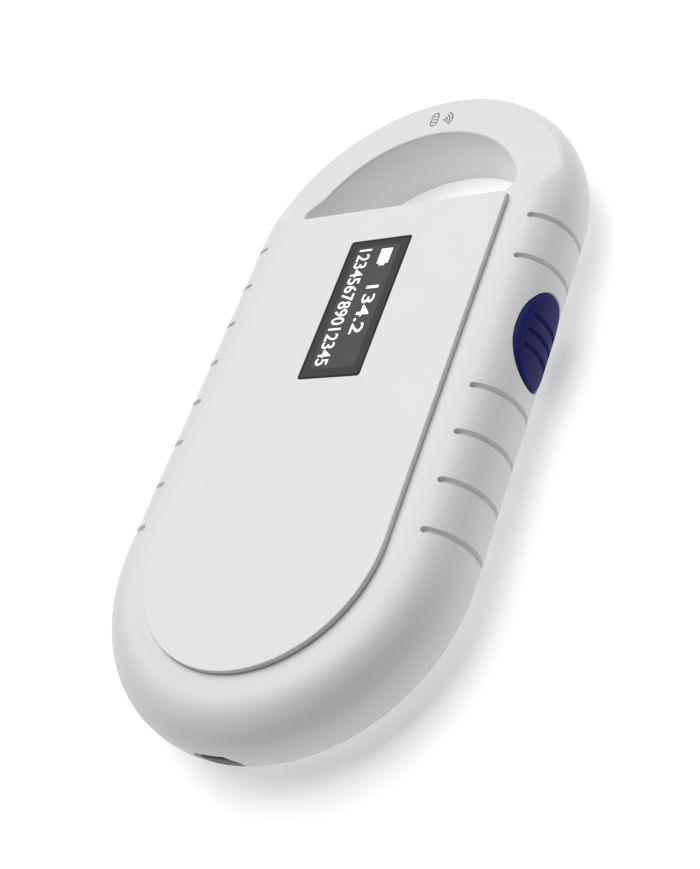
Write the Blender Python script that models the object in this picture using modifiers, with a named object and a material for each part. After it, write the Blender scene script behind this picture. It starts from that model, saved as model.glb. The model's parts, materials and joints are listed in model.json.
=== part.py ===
"""Handheld veterinary microchip scanner, about 122 x 61 x 15 mm, lying on its back.

Metres, +Z up out of the display, +Y towards the handle, +X on the button's side.
The origin is on the back face, under the middle of the case.
"""

import math

import bmesh
import bpy
from mathutils import Matrix, Vector

MM = 0.001
GAP = 0.3 * MM

# Case: a stadium with a fully rounded edge.
CASE_HALF_WIDTH = 30.6 * MM
CASE_ARC_Y = 30.5 * MM
CASE_THICK = 13.6 * MM
CASE_EDGE = 6.75 * MM
EDGE_PROFILE = 0.525
EDGE_EXPONENT = 2.15
WALL = 1.8 * MM
MID_Z = CASE_THICK / 2
EDGE_CENTRE_X = CASE_HALF_WIDTH - CASE_THICK / 2
ARC_STEPS = 24
EDGE_STEPS = 6

# The rear cover is a shallow tray; the rest of the case is the front shell, whose tube
# round the handle hole reaches through the cover to the back.
SEAM_Z = 2.6 * MM
LIP_OUTER = 26.2 * MM
LIP_THICK = 1.0 * MM
LIP_TOP_Z = 4.4 * MM
LIP_END_Y = 22.0 * MM
PAD_TOP_Z = 3.4 * MM

# Handle: a D-shaped hole, and a ring whose face lies below the case's front.
HOLE_RADIUS = 21.15 * MM
HOLE_FLAT_Y = 32.8 * MM
HOLE_CORNER = 3.0 * MM
HOLE_WALL = 1.6 * MM
TUBE_WALL = 1.5 * MM
TUBE_LOW_Z = 0.1 * MM
RING_FACE_Z = 11.6 * MM
RAMP_CREST_Y = 34.1 * MM
RAMP_FOOT_Y = 40.1 * MM

# Grip grooves, wrapped round both sides.
GROOVE_PITCH = 8.0 * MM
GROOVE_COUNT = 8
GROOVE_WIDTH = 0.9 * MM
GROOVE_DEPTH = 0.8 * MM
GROOVE_START_X = 25.5 * MM

# Raised front panel with the display window in it.
PANEL_HALF_WIDTH = 21.07 * MM
PANEL_TOP_Y = 32.5 * MM
PANEL_TOP_Z = 14.56 * MM
PANEL_THICK = 1.4 * MM
PANEL_CORNER = 1.2 * MM
WINDOW_Y = 12.0 * MM
WINDOW_LENGTH = 27.7 * MM
WINDOW_WIDTH = 11.8 * MM
WINDOW_CORNER = 0.5 * MM
WINDOW_THICK = 0.7 * MM
OLED_LENGTH = 30.0 * MM
OLED_WIDTH = 11.5 * MM
OLED_LOW_Z = 11.45 * MM
OLED_THICK = 1.4 * MM

# Power button on the right side, and the switch behind it.
BUTTON_Y = 8.1 * MM
BUTTON_HALF_LENGTH = 8.2 * MM
BUTTON_HALF_HEIGHT = 4.8 * MM
BUTTON_EXPONENT = 2.2
BUTTON_PROUD = 0.15 * MM
BUTTON_INNER_X = 27.2 * MM
BUTTON_OPENING_X = 26.4 * MM
BUTTON_GROOVE_PITCH = 2.7 * MM
BUTTON_GROOVE_WIDTH = 0.7 * MM
BUTTON_GROOVE_DEPTH = 0.45 * MM
BUTTON_GROOVE_REACH = 6.6 * MM
FLANGE_X = 27.0 * MM
FLANGE_SIZE = (1.0 * MM, 19.2 * MM, 6.4 * MM)
NUB_X = (26.0 * MM, 26.8 * MM)
NUB_RADIUS = 1.3 * MM
SWITCH_Z = 5.7 * MM
SWITCH_BODY_X = 23.2 * MM
SWITCH_BODY_SIZE = (3.4 * MM, 6.0 * MM, 2.8 * MM)
SWITCH_BORE_X = (24.0 * MM, 27.0 * MM)
SWITCH_BORE_RADIUS = 1.05 * MM
SWITCH_STEM_X = (24.35 * MM, 25.7 * MM)
SWITCH_STEM_RADIUS = 0.8 * MM

# Circuit board.
PCB_LOW_Z = 7.3 * MM
PCB_THICK = 1.0 * MM
PCB_HALF_WIDTH = 19.5 * MM
PCB_TOP_Y = 29.3 * MM
PCB_SHOULDER_Y = -42.5 * MM
PCB_TAIL_HALF_WIDTH = 10.5 * MM
PCB_BOTTOM_Y = -56.5 * MM
PCB_EAR_X = 25.0 * MM
PCB_EAR_Y = (1.0 * MM, 15.0 * MM)
CHIP_LIFT = 0.15 * MM
BOARD_CLEARANCE = 0.2 * MM

# Charging inlet at the bottom end.
USB_X = -1.0 * MM
USB_Z = 5.8 * MM
USB_SLOT_WIDTH = 8.4 * MM
USB_SLOT_LOW_Z = 4.2 * MM
USB_SLOT_HIGH_Z = 7.7 * MM
USB_SLANT = 1.6 * MM
USB_WIDTH = 7.6 * MM
USB_HEIGHT = 2.6 * MM
USB_WALL = 0.35 * MM
USB_MOUTH_Y = -60.0 * MM
USB_DEPTH = 7.2 * MM
USB_TONGUE_SIZE = (4.4 * MM, 5.6 * MM, 0.6 * MM)

# Battery, and the plugs on the back of the board.
BATTERY_WIDTH = 30.0 * MM
BATTERY_LENGTH = 46.0 * MM
BATTERY_THICK = 4.0 * MM
BATTERY_LOW_Z = 2.6 * MM
BATTERY_Y = -20.0 * MM
BATTERY_PLUG = (-9.0 * MM, 12.0 * MM, 5.4 * MM)
BATTERY_PLUG_SIZE = (6.0 * MM, 4.5 * MM, 3.2 * MM)
ANTENNA_PLUG = (9.0 * MM, 24.0 * MM, 5.9 * MM)
ANTENNA_PLUG_SIZE = (5.0 * MM, 4.0 * MM, 2.2 * MM)
PLUG_ROUNDING = 0.15 * MM
LEAD_RADIUS = 0.45 * MM
ANTENNA_LEAD_RADIUS = 0.25 * MM

# Screws: through the rear cover into the front shell, and through the board.
SHANK_RADIUS = 0.75 * MM
PILOT_RADIUS = 0.95 * MM
SCREW_WAY_RADIUS = 1.1 * MM
CASE_BOSS_RADIUS = 2.5 * MM
BOARD_BOSS_RADIUS = 2.0 * MM
PAD_RADIUS = 2.9 * MM
SEAT_RADIUS = 2.15 * MM
SEAT_DEPTH = 1.6 * MM
BOSS_ROOT = 0.6 * MM
CASE_HEAD = (0.3 * MM, 1.3 * MM, 1.8 * MM)
CASE_SHANK_TOP_Z = 9.5 * MM
BOARD_HEAD_RADIUS = 1.5 * MM
BOARD_HEAD_THICK = 0.9 * MM
BOARD_SHANK_TOP_Z = 11.2 * MM
CASE_SCREWS = (
    (-22.3 * MM, 24.0 * MM),
    (22.3 * MM, 24.0 * MM),
    (-22.3 * MM, -9.0 * MM),
    (22.3 * MM, -9.0 * MM),
    (-14.0 * MM, -47.5 * MM),
    (14.0 * MM, -47.5 * MM),
)
PCB_SCREWS = (
    (-17.3 * MM, 25.5 * MM),
    (17.3 * MM, 25.5 * MM),
    (-17.3 * MM, -38.0 * MM),
    (17.3 * MM, -38.0 * MM),
)

# Antenna coil, wound round the handle hole's wall inside the ring.
COIL_INNER = 1.85 * MM
COIL_OUTER = 2.6 * MM
COIL_LOW_Z = 3.0 * MM
COIL_HIGH_Z = 8.6 * MM

LABEL_WIDTH = 26.0 * MM
LABEL_LENGTH = 36.0 * MM
LABEL_Y = -30.0 * MM
LABEL_RECESS = 0.35 * MM

COLOURS = {
    "shell_white": ((0.80, 0.80, 0.80), 0.42, 0.0),
    "panel_white": ((0.86, 0.86, 0.86), 0.35, 0.0),
    "button_blue": ((0.03, 0.03, 0.16), 0.40, 0.0),
    "window_black": ((0.01, 0.01, 0.012), 0.12, 0.0),
    "display_glass": ((0.05, 0.05, 0.06), 0.10, 0.0),
    "black_plastic": ((0.02, 0.02, 0.02), 0.50, 0.0),
    "foam_black": ((0.03, 0.03, 0.03), 0.95, 0.0),
    "flex_amber": ((0.45, 0.20, 0.04), 0.40, 0.0),
    "board_green": ((0.02, 0.18, 0.06), 0.45, 0.0),
    "chip_black": ((0.02, 0.02, 0.022), 0.55, 0.0),
    "capacitor_tan": ((0.45, 0.30, 0.16), 0.50, 0.0),
    "steel": ((0.62, 0.62, 0.64), 0.30, 1.0),
    "battery_silver": ((0.55, 0.56, 0.58), 0.45, 0.0),
    "coil_copper": ((0.62, 0.25, 0.09), 0.35, 1.0),
    "wire_red": ((0.55, 0.02, 0.02), 0.50, 0.0),
    "wire_black": ((0.015, 0.015, 0.015), 0.50, 0.0),
    "tape_white": ((0.75, 0.75, 0.72), 0.80, 0.0),
    "label_silver": ((0.70, 0.70, 0.70), 0.50, 0.0),
}


def clear_scene():
    for obj in list(bpy.data.objects):
        bpy.data.objects.remove(obj, do_unlink=True)


def new_collection(name, shown):
    collection = bpy.data.collections.new(name)
    collection.hide_render = not shown
    bpy.context.scene.collection.children.link(collection)
    return collection


clear_scene()
PARTS = new_collection("microchip_scanner", True)
CUTTERS = new_collection("cutters", False)


def material(slot):
    found = bpy.data.materials.get(slot)
    if found:
        return found
    colour, roughness, metallic = COLOURS[slot]
    made = bpy.data.materials.new(slot)
    made.use_nodes = True
    shader = made.node_tree.nodes["Principled BSDF"]
    shader.inputs["Base Color"].default_value = (*colour, 1.0)
    shader.inputs["Roughness"].default_value = roughness
    shader.inputs["Metallic"].default_value = metallic
    return made


def finish(name, mesh, slot):
    """Puts a mesh in the scene: as a part with a material, or as a cutter when it has no slot."""
    obj = bpy.data.objects.new(name, mesh)
    if slot:
        PARTS.objects.link(obj)
        mesh.materials.append(material(slot))
        mesh.shade_smooth()
        mesh.set_sharp_from_angle(angle=math.radians(30))
        return obj
    CUTTERS.objects.link(obj)
    obj.hide_render = True
    obj.display_type = "WIRE"
    return obj


def placed(u, v, w, axis):
    """A point from outline coordinates u, v and the distance w along the extrusion's axis."""
    return {"x": (w, u, v), "y": (u, w, v), "z": (u, v, w)}[axis]


def prism(name, outline, low, high, slot=None, axis="z"):
    """A flat outline extruded from low to high along an axis."""
    mesh = bpy.data.meshes.new(name)
    bm = bmesh.new()
    face = bm.faces.new([bm.verts.new(placed(u, v, low, axis)) for u, v in outline])
    extruded = bmesh.ops.extrude_face_region(bm, geom=[face])
    moved = [item for item in extruded["geom"] if isinstance(item, bmesh.types.BMVert)]
    bmesh.ops.translate(bm, verts=moved, vec=placed(0, 0, high - low, axis))
    bmesh.ops.recalc_face_normals(bm, faces=bm.faces)
    bm.to_mesh(mesh)
    bm.free()
    return finish(name, mesh, slot)


def box(name, centre, size, slot=None, chamfer=0.0):
    """A box by its centre and size, with its edges rounded if a radius is given."""
    mesh = bpy.data.meshes.new(name)
    bm = bmesh.new()
    bmesh.ops.create_cube(bm, size=1.0)
    bmesh.ops.scale(bm, verts=bm.verts, vec=size)
    bm.to_mesh(mesh)
    bm.free()
    obj = finish(name, mesh, slot)
    obj.location = centre
    if chamfer:
        round_edges(obj, chamfer, 2)
    return obj


def cylinder(name, x, y, low, high, radius, slot=None, sides=24):
    """An upright cylinder."""
    mesh = bpy.data.meshes.new(name)
    bm = bmesh.new()
    bmesh.ops.create_cone(
        bm, cap_ends=True, segments=sides, radius1=radius, radius2=radius, depth=high - low
    )
    bm.to_mesh(mesh)
    bm.free()
    obj = finish(name, mesh, slot)
    obj.location = (x, y, (low + high) / 2)
    return obj


def cylinder_x(name, low, high, y, z, radius, slot=None, sides=20):
    """A cylinder lying along X."""
    obj = cylinder(name, 0, 0, low, high, radius, slot, sides)
    obj.location = ((low + high) / 2, y, z)
    obj.rotation_euler = (0, math.pi / 2, 0)
    return obj


def round_edges(obj, width, segments, profile=0.5, angle=40):
    bevel = obj.modifiers.new("round", "BEVEL")
    bevel.width = width
    bevel.segments = segments
    bevel.profile = profile
    bevel.limit_method = "ANGLE"
    bevel.angle_limit = math.radians(angle)
    return bevel


def boolean(obj, other, operation):
    modifier = obj.modifiers.new(other.name, "BOOLEAN")
    modifier.object = other
    modifier.operation = operation
    modifier.solver = "EXACT"


def cut(obj, *others):
    for other in others:
        boolean(obj, other, "DIFFERENCE")


def join(obj, *others):
    for other in others:
        boolean(obj, other, "UNION")


def keep_inside(obj, other):
    boolean(obj, other, "INTERSECT")


def move_origin(obj, point):
    """Moves an object's origin and leaves its shape where it is."""
    obj.data.transform(Matrix.Translation(-Vector(point)))
    obj.location = point


def arc(cx, cy, radius, start, end, steps):
    """Points on an arc between two angles in radians, both ends included."""
    angles = [start + (end - start) * i / steps for i in range(steps + 1)]
    return [(cx + radius * math.cos(a), cy + radius * math.sin(a)) for a in angles]


def stadium(half_width, steps=ARC_STEPS):
    top = arc(0, CASE_ARC_Y, half_width, 0, math.pi, steps)
    bottom = arc(0, -CASE_ARC_Y, half_width, math.pi, 2 * math.pi, steps)
    return top + bottom


def rounded_rectangle(cx, cy, width, height, radius, steps=4):
    points = []
    corners = ((1, -1, -90), (1, 1, 0), (-1, 1, 90), (-1, -1, 180))
    for sx, sy, start in corners:
        centre_x = cx + sx * (width / 2 - radius)
        centre_y = cy + sy * (height / 2 - radius)
        angle = math.radians(start)
        points += arc(centre_x, centre_y, radius, angle, angle + math.pi / 2, steps)
    return points


def d_outline(offset, steps=ARC_STEPS):
    """The handle hole's outline, moved outwards by an offset."""
    corner_y = HOLE_FLAT_Y + HOLE_CORNER
    reach = HOLE_RADIUS - HOLE_CORNER
    rise = corner_y - CASE_ARC_Y
    corner_x = math.sqrt(reach**2 - rise**2)
    turn = math.atan2(rise, corner_x)
    radius = HOLE_CORNER + offset
    right = arc(corner_x, corner_y, radius, -math.pi / 2, turn, 5)
    top = arc(0, CASE_ARC_Y, HOLE_RADIUS + offset, turn, math.pi - turn, steps)
    left = arc(-corner_x, corner_y, radius, math.pi - turn, 1.5 * math.pi, 5)
    return right + top[1:-1] + left


def panel_outline(offset, top_y):
    """The front panel: a round bottom, straight sides and a straight top with small corners."""
    half = PANEL_HALF_WIDTH + offset
    bottom = arc(0, -CASE_ARC_Y, half, math.pi, 2 * math.pi, ARC_STEPS)
    corner = PANEL_CORNER + offset
    right = arc(half - corner, top_y - corner, corner, 0, math.pi / 2, 4)
    left = arc(corner - half, top_y - corner, corner, math.pi / 2, math.pi, 4)
    return bottom + right + left


def inlet_outline(width, low, high, slant):
    """The charging inlet's profile: flat below, with its upper corners cut off at a slant."""
    half = width / 2
    chamfer = 0.4 * MM
    right = [
        (half - chamfer, low),
        (half, low + chamfer),
        (half, high - slant),
        (half - slant, high),
    ]
    left = [(-x, z) for x, z in reversed(right)]
    return [(USB_X + x, z) for x, z in right + left]


def superellipse(cx, cy, half_x, half_y, exponent, steps):
    points = []
    for i in range(steps):
        angle = 2 * math.pi * i / steps
        c = math.cos(angle)
        s = math.sin(angle)
        x = math.copysign(abs(c) ** (2 / exponent), c)
        y = math.copysign(abs(s) ** (2 / exponent), s)
        points.append((cx + half_x * x, cy + half_y * y))
    return points


def edge_band(outer, inner, start_x):
    """Outline in X and Z of a band round the right side, between two offsets of the case's edge."""

    def side(offset, points):
        reach = CASE_THICK / 2 + offset
        start = max(start_x - EDGE_CENTRE_X, 0) / reach
        first = math.acos(start ** (EDGE_EXPONENT / 2))
        found = []
        for i in range(points + 1):
            angle = first - 2 * first * i / points
            c = math.cos(angle)
            s = math.sin(angle)
            x = abs(c) ** (2 / EDGE_EXPONENT)
            z = math.copysign(abs(s) ** (2 / EDGE_EXPONENT), s)
            found.append((EDGE_CENTRE_X + reach * x, MID_Z + reach * z))
        return found

    return side(outer, 12) + side(inner, 12)[::-1]


def case_blank(name, slot=None, grow=0.0):
    """The case's outer form, grown or shrunk by an offset."""
    blank = prism(name, stadium(CASE_HALF_WIDTH + grow), -grow, CASE_THICK + grow, slot)
    round_edges(blank, CASE_EDGE + grow, EDGE_STEPS, EDGE_PROFILE)
    return blank


def ramp_cutter(name, drop):
    """Everything above the ramp and the ring's face, moved down by a drop."""
    above = CASE_THICK * 2
    outline = (
        (RAMP_CREST_Y - drop / 2, CASE_THICK - drop),
        (RAMP_FOOT_Y - drop / 2, RING_FACE_Z - drop),
        (2 * CASE_ARC_Y + CASE_HALF_WIDTH, RING_FACE_Z - drop),
        (2 * CASE_ARC_Y + CASE_HALF_WIDTH, above),
        (RAMP_CREST_Y - drop / 2, above),
    )
    half = CASE_HALF_WIDTH * 1.5
    return prism(name, outline, -half, half, axis="x")


def cavity_cutter():
    """The hollow inside the case: it leaves the walls, and a tube round the handle hole."""
    cavity = case_blank("cavity", grow=-WALL)
    cut(cavity, ramp_cutter("cavity_ramp", WALL))
    cut(cavity, prism("cavity_tube", d_outline(HOLE_WALL), -CASE_THICK, 2 * CASE_THICK))
    return cavity


def groove_rows(side):
    """Y positions of the grip grooves; the button takes the place of two on the right."""
    rows = [GROOVE_PITCH * (i - (GROOVE_COUNT - 1) / 2) for i in range(GROOVE_COUNT)]
    if side < 0:
        return rows
    return [y for y in rows if abs(y - BUTTON_Y) > GROOVE_PITCH]


def groove_cutter():
    """All grooves as one cutter: bands that follow the side's rounding."""
    band = edge_band(1.5 * MM, -GROOVE_DEPTH, GROOVE_START_X)
    made = bmesh.new()
    for side in (-1, 1):
        for y in groove_rows(side):
            low = y - GROOVE_WIDTH / 2
            verts = [made.verts.new((side * x, low, z)) for x, z in band]
            face = made.faces.new(verts)
            extruded = bmesh.ops.extrude_face_region(made, geom=[face])
            moved = [item for item in extruded["geom"] if isinstance(item, bmesh.types.BMVert)]
            bmesh.ops.translate(made, verts=moved, vec=(0, GROOVE_WIDTH, 0))
    bmesh.ops.recalc_face_normals(made, faces=made.faces)
    mesh = bpy.data.meshes.new("grooves")
    made.to_mesh(mesh)
    made.free()
    return finish("grooves", mesh, None)


def shared_cutters():
    """The cutters that both halves of the case use."""
    far = 40 * MM
    opening = superellipse(
        BUTTON_Y,
        MID_Z,
        BUTTON_HALF_LENGTH + GAP,
        BUTTON_HALF_HEIGHT + GAP,
        BUTTON_EXPONENT,
        36,
    )
    return {
        "cavity": cavity_cutter(),
        "ramp": ramp_cutter("ramp", 0.0),
        "hole": prism("handle_hole", d_outline(0.0), -CASE_THICK, 2 * CASE_THICK),
        "grooves": groove_cutter(),
        "button": prism("button_opening", opening, BUTTON_OPENING_X, far, axis="x"),
    }


def add_bosses(shell):
    """Hollow posts for the case screws and the board screws, hanging from the front wall."""
    top = CASE_THICK - WALL
    root = top + BOSS_ROOT
    for index, (x, y) in enumerate(CASE_SCREWS):
        low = PAD_TOP_Z + GAP
        join(shell, cylinder(f"case_boss_{index}", x, y, low, root, CASE_BOSS_RADIUS))
        cut(shell, cylinder(f"case_pilot_{index}", x, y, low - MM, top - MM, PILOT_RADIUS, sides=16))
    for index, (x, y) in enumerate(PCB_SCREWS):
        low = PCB_LOW_Z + PCB_THICK + BOARD_CLEARANCE
        join(shell, cylinder(f"board_boss_{index}", x, y, low, root, BOARD_BOSS_RADIUS))
        cut(shell, cylinder(f"board_pilot_{index}", x, y, low - MM, top - GAP, PILOT_RADIUS, sides=16))


def build_front_shell(cutters):
    shell = case_blank("front_shell", "shell_white")
    cut(shell, cutters["cavity"])
    add_bosses(shell)
    low = SEAM_Z + GAP
    cut(shell, box("below_seam", (0, 0, low - 15 * MM), (0.2, 0.2, 30 * MM)))
    join(shell, prism("handle_tube", d_outline(TUBE_WALL), TUBE_LOW_Z, 2 * SEAM_Z))
    cut(shell, cutters["hole"], cutters["ramp"], cutters["grooves"], cutters["button"])
    recess_z = PANEL_TOP_Z - PANEL_THICK - GAP
    recess = panel_outline(GAP, HOLE_FLAT_Y + GAP)
    cut(shell, prism("panel_recess", recess, recess_z, 2 * CASE_THICK))
    opening = rounded_rectangle(
        0, WINDOW_Y, OLED_WIDTH + 2 * GAP, OLED_LENGTH + 2 * GAP, 2 * WINDOW_CORNER
    )
    cut(shell, prism("display_opening", opening, CASE_THICK - 3 * MM, 2 * CASE_THICK))
    slot = inlet_outline(USB_SLOT_WIDTH, USB_SLOT_LOW_Z, USB_SLOT_HIGH_Z, USB_SLANT)
    cut(shell, prism("usb_slot", slot, -70 * MM, -57 * MM, axis="y"))
    return shell


def lip_solid():
    """The cover's upstanding lip, open at the handle and at the button."""
    lip = prism("cover_lip", stadium(LIP_OUTER), WALL - MM, LIP_TOP_Z)
    inner = prism("lip_inner", stadium(LIP_OUTER - LIP_THICK), 0, 2 * LIP_TOP_Z)
    handle = box("lip_handle", (0, LIP_END_Y + 50 * MM, 0), (100 * MM, 100 * MM, 40 * MM))
    button = box("lip_button", (30 * MM, BUTTON_Y, 0), (12 * MM, 22 * MM, 40 * MM))
    inlet = box("lip_inlet", (0, -CASE_ARC_Y - LIP_OUTER, LIP_TOP_Z), (11 * MM, 8 * MM, 2.4 * MM))
    cut(lip, inner, handle, button, inlet)
    return lip


def build_rear_cover(cutters):
    cover = case_blank("rear_cover", "shell_white")
    above = box("above_seam", (0, 0, SEAM_Z + 15 * MM), (0.2, 0.2, 30 * MM))
    cut(cover, above, cutters["cavity"])
    join(cover, lip_solid())
    for index, (x, y) in enumerate(CASE_SCREWS):
        join(cover, cylinder(f"screw_pad_{index}", x, y, BOSS_ROOT, PAD_TOP_Z, PAD_RADIUS))
        cut(cover, cylinder(f"screw_seat_{index}", x, y, -MM, SEAT_DEPTH, SEAT_RADIUS))
        cut(cover, cylinder(f"screw_way_{index}", x, y, 0, 2 * SEAM_Z, SCREW_WAY_RADIUS, sides=16))
    cut(cover, prism("tube_way", d_outline(TUBE_WALL + GAP), -MM, 2 * SEAM_Z))
    cut(cover, cutters["grooves"], cutters["button"])
    label = rounded_rectangle(0, LABEL_Y, LABEL_WIDTH, LABEL_LENGTH, 1.5 * MM)
    cut(cover, prism("label_recess", label, -MM, LABEL_RECESS))
    return cover


def build_front_panel():
    low = PANEL_TOP_Z - PANEL_THICK
    panel = prism("front_panel", panel_outline(0.0, PANEL_TOP_Y), low, PANEL_TOP_Z, "panel_white")
    opening = rounded_rectangle(
        0, WINDOW_Y, WINDOW_WIDTH + GAP, WINDOW_LENGTH + GAP, WINDOW_CORNER, 2
    )
    cut(panel, prism("window_opening", opening, 0, 2 * CASE_THICK))
    return panel


def build_display():
    """The window, the OLED under it, its gasket, frame and flex."""
    high = PANEL_TOP_Z - 0.06 * MM
    window = rounded_rectangle(
        0, WINDOW_Y, WINDOW_WIDTH - GAP, WINDOW_LENGTH - GAP, WINDOW_CORNER, 2
    )
    prism("display_window", window, high - WINDOW_THICK, high, "window_black")

    gasket_low = OLED_LOW_Z + OLED_THICK + 0.2 * MM
    gasket = rounded_rectangle(0, WINDOW_Y, OLED_WIDTH - GAP, WINDOW_LENGTH - GAP, WINDOW_CORNER, 2)
    frame = prism("display_gasket", gasket, gasket_low, gasket_low + 0.4 * MM, "foam_black")
    view = rounded_rectangle(0, WINDOW_Y, 8.6 * MM, 25 * MM, WINDOW_CORNER, 2)
    cut(frame, prism("gasket_opening", view, 0, 2 * CASE_THICK))

    middle = OLED_LOW_Z + OLED_THICK / 2
    box(
        "oled_glass",
        (0, WINDOW_Y, middle),
        (OLED_WIDTH, OLED_LENGTH, OLED_THICK),
        "display_glass",
    )
    build_display_frame()
    build_oled_flex()


def build_display_frame():
    low = PCB_LOW_Z + PCB_THICK + 0.25 * MM
    outline = rounded_rectangle(0, WINDOW_Y, OLED_WIDTH, OLED_LENGTH, 0.6 * MM, 2)
    frame = prism("display_frame", outline, low, OLED_LOW_Z - 0.25 * MM, "black_plastic")
    inside = rounded_rectangle(0, WINDOW_Y, OLED_WIDTH - 3 * MM, OLED_LENGTH - 3 * MM, 0.6 * MM, 2)
    cut(frame, prism("display_frame_opening", inside, 0, 2 * CASE_THICK))


def build_oled_flex():
    """The flex leaves the glass's lower end and turns down onto the board."""
    radius = 1.3 * MM
    thick = 0.18 * MM
    top = OLED_LOW_Z + 0.1 * MM
    end_y = WINDOW_Y - OLED_LENGTH / 2 - 0.25 * MM
    turn_y = end_y - 1.2 * MM
    centre_z = top - radius
    foot_y = turn_y + 0.9 * MM
    outer = arc(turn_y, centre_z, radius, math.pi / 2, 1.5 * math.pi, 10)
    inner = arc(turn_y, centre_z, radius - thick, 1.5 * math.pi, math.pi / 2, 10)
    tail = (foot_y, centre_z - radius)
    tail_top = (foot_y, centre_z - radius + thick)
    lead = (end_y, top)
    lead_low = (end_y, top - thick)
    outline = [lead, *outer, tail, tail_top, *inner, lead_low]
    prism("oled_flex", outline, -4 * MM, 4 * MM, "flex_amber", axis="x")


def build_button():
    """The button's face follows the case's side, standing a little proud of it."""
    oval = superellipse(
        BUTTON_Y, MID_Z, BUTTON_HALF_LENGTH, BUTTON_HALF_HEIGHT, BUTTON_EXPONENT, 36
    )
    button = prism("power_button", oval, BUTTON_INNER_X, 40 * MM, "button_blue", axis="x")
    move_origin(button, (BUTTON_INNER_X, BUTTON_Y, MID_Z))
    keep_inside(button, case_blank("button_form", grow=BUTTON_PROUD))
    flange = box("button_flange", (FLANGE_X, BUTTON_Y, MID_Z), FLANGE_SIZE)
    nub = cylinder_x("button_nub", *NUB_X, BUTTON_Y, SWITCH_Z, NUB_RADIUS)
    join(button, flange, nub)
    band = edge_band(2 * MM, BUTTON_PROUD - BUTTON_GROOVE_DEPTH, EDGE_CENTRE_X)
    half = BUTTON_GROOVE_WIDTH / 2
    for step in (-1, 0, 1):
        y = BUTTON_Y + step * BUTTON_GROOVE_PITCH
        groove = prism(f"button_groove_{step + 2}", band, y - half, y + half, axis="y")
        reach = box(f"groove_reach_{step + 2}", (BUTTON_INNER_X, y, MID_Z), (0.1, 0.1, BUTTON_GROOVE_REACH))
        keep_inside(groove, reach)
        cut(button, groove)


def build_switch():
    body = box("tact_switch_body", (SWITCH_BODY_X, BUTTON_Y, SWITCH_Z), SWITCH_BODY_SIZE, "steel")
    cut(body, cylinder_x("switch_bore", *SWITCH_BORE_X, BUTTON_Y, SWITCH_Z, SWITCH_BORE_RADIUS))
    cylinder_x(
        "tact_switch_stem", *SWITCH_STEM_X, BUTTON_Y, SWITCH_Z, SWITCH_STEM_RADIUS, "black_plastic"
    )


def pcb_outline():
    ear_low, ear_high = PCB_EAR_Y
    shoulder = 1.5 * MM
    return [
        (-PCB_HALF_WIDTH, PCB_SHOULDER_Y + shoulder),
        (-PCB_HALF_WIDTH + shoulder, PCB_SHOULDER_Y),
        (-PCB_TAIL_HALF_WIDTH, PCB_SHOULDER_Y),
        (-PCB_TAIL_HALF_WIDTH, PCB_BOTTOM_Y + shoulder),
        (-PCB_TAIL_HALF_WIDTH + shoulder, PCB_BOTTOM_Y),
        (PCB_TAIL_HALF_WIDTH - shoulder, PCB_BOTTOM_Y),
        (PCB_TAIL_HALF_WIDTH, PCB_BOTTOM_Y + shoulder),
        (PCB_TAIL_HALF_WIDTH, PCB_SHOULDER_Y),
        (PCB_HALF_WIDTH - shoulder, PCB_SHOULDER_Y),
        (PCB_HALF_WIDTH, PCB_SHOULDER_Y + shoulder),
        (PCB_HALF_WIDTH, ear_low),
        (PCB_EAR_X, ear_low),
        (PCB_EAR_X, ear_high),
        (PCB_HALF_WIDTH, ear_high),
        (PCB_HALF_WIDTH, PCB_TOP_Y - shoulder),
        (PCB_HALF_WIDTH - shoulder, PCB_TOP_Y),
        (-PCB_HALF_WIDTH + shoulder, PCB_TOP_Y),
        (-PCB_HALF_WIDTH, PCB_TOP_Y - shoulder),
    ]


def build_board():
    board = prism("main_pcb", pcb_outline(), PCB_LOW_Z, PCB_LOW_Z + PCB_THICK, "board_green")
    for index, (x, y) in enumerate(PCB_SCREWS):
        low = PCB_LOW_Z - MM
        high = PCB_LOW_Z + 2 * MM
        cut(board, cylinder(f"board_hole_{index}", x, y, low, high, SCREW_WAY_RADIUS, sides=16))


def chip(name, x, y, size, slot):
    """A component standing on the board's front side; sizes in millimetres."""
    width, length, height = (side * MM for side in size)
    low = PCB_LOW_Z + PCB_THICK + CHIP_LIFT
    box(name, (x * MM, y * MM, low + height / 2), (width, length, height), slot, 0.12 * MM)


def build_components():
    chip("microcontroller", -9, -12, (7, 7, 1.0), "chip_black")
    chip("rf_reader_chip", 9, -14, (6, 8, 1.5), "chip_black")
    chip("crystal", -11, -21, (5, 3.2, 1.2), "steel")
    chip("inductor", 8, -27, (6, 6, 2.2), "chip_black")
    chip("charger_chip", 4, -46, (3.2, 3.2, 1.0), "chip_black")
    for index, (x, y) in enumerate(((14, -22), (14, -28), (-2, -22), (-4, -46))):
        chip(f"capacitor_{index + 1}", x, y, (1.6, 3.2, 1.6), "capacitor_tan")
    low = PCB_LOW_Z + PCB_THICK + CHIP_LIFT
    buzzer = cylinder("buzzer", -9 * MM, -33 * MM, low, low + 2.6 * MM, 4.6 * MM, "chip_black", 32)
    cut(buzzer, cylinder("buzzer_port", -9 * MM, -33 * MM, low + 2 * MM, low + 4 * MM, 0.8 * MM, sides=12))


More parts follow.
